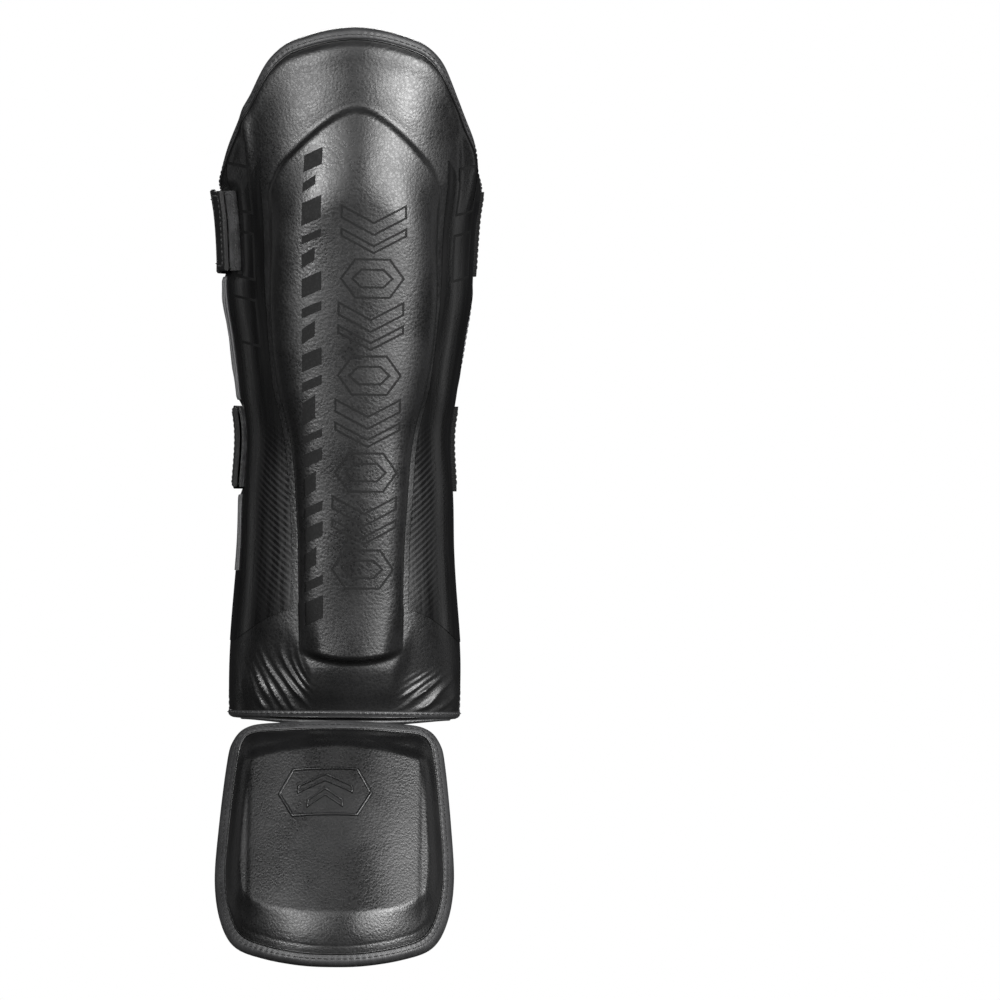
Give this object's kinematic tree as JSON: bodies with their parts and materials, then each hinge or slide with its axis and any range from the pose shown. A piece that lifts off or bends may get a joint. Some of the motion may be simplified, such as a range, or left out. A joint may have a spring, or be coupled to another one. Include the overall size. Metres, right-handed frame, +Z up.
{
  "type": "shin guard",
  "caption": "Padded shin and instep guard with a raised ridge, bound edges, hook-and-loop straps behind the calf and a flexible ankle.",
  "frame": {"origin": "on the leg's axis at the level of the shin pad's lower hem", "axes": "+Z up the shin towards the knee, the padded face looks along -Y, +X is the inner side of the left leg"},
  "size_m": [0.1466, 0.1781, 0.4919],
  "materials": {
    "cover_leather": "satin",
    "gloss_panel": "gloss",
    "binding": "satin",
    "foam": "matte",
    "lining_fabric": "matte",
    "elastic": "matte",
    "hook_fabric": "matte",
    "loop_fabric": "matte"
  },
  "bodies": {
    "shin": {"shin_cover": "cover_leather", "left_side_panel": "gloss_panel", "right_side_panel": "gloss_panel", "shin_ridge_foam": "foam", "shin_base_foam": "foam", "shin_lining": "lining_fabric", "top_binding": "binding", "left_edge_binding": "binding", "right_edge_binding": "binding", "hem_binding": "binding", "ankle_lip": "cover_leather", "upper_loop_patch": "loop_fabric", "lower_loop_patch": "loop_fabric", "upper_strap_anchor": "binding", "lower_strap_anchor": "binding", "ankle_hinge_panel": "lining_fabric"},
    "upper_strap_base": {"upper_strap_root": "elastic"},
    "upper_strap_flap": {"upper_strap_end": "elastic", "upper_hook_patch": "hook_fabric", "upper_pull_tab": "cover_leather"},
    "lower_strap_base": {"lower_strap_root": "elastic"},
    "lower_strap_flap": {"lower_strap_end": "elastic", "lower_hook_patch": "hook_fabric", "lower_pull_tab": "cover_leather"},
    "instep": {"instep_cover": "cover_leather", "instep_raised_foam": "foam", "instep_base_foam": "foam", "instep_lining": "lining_fabric", "instep_binding": "binding", "instep_emblem": "gloss_panel", "sole_strap": "elastic", "left_sole_tab": "binding", "right_sole_tab": "binding"}
  },
  "joints": [
    {"name": "ankle_flex", "type": "hinge", "parent": "shin", "child": "instep", "pos_m": [0, -0.053, -0.001], "axis": [-1, 0, 0], "range_deg": [-8, 45], "stiffness_Nm_per_rad": 0.6, "deforming": ["ankle_hinge_panel"]},
    {"name": "upper_strap_swing", "type": "hinge", "parent": "shin", "child": "upper_strap_base", "pos_m": [0.05757, 0.03351, 0.257], "axis": [0, 0, -1], "range_deg": [0, 100]},
    {"name": "upper_strap_peel", "type": "hinge", "parent": "upper_strap_base", "child": "upper_strap_flap", "pos_m": [0, 0.06309, 0.257], "axis": [0, 0, -1], "range_deg": [0, 60]},
    {"name": "lower_strap_swing", "type": "hinge", "parent": "shin", "child": "lower_strap_base", "pos_m": [0.04747, 0.02125, 0.143], "axis": [0, 0, -1], "range_deg": [0, 100]},
    {"name": "lower_strap_peel", "type": "hinge", "parent": "lower_strap_base", "child": "lower_strap_flap", "pos_m": [0, 0.046, 0.143], "axis": [0, 0, -1], "range_deg": [0, 60]}
  ],
  "couplings": [
    {"joint": "upper_strap_peel", "follows": "upper_strap_swing", "ratio": 0.6},
    {"joint": "lower_strap_peel", "follows": "lower_strap_swing", "ratio": 0.6}
  ]
}
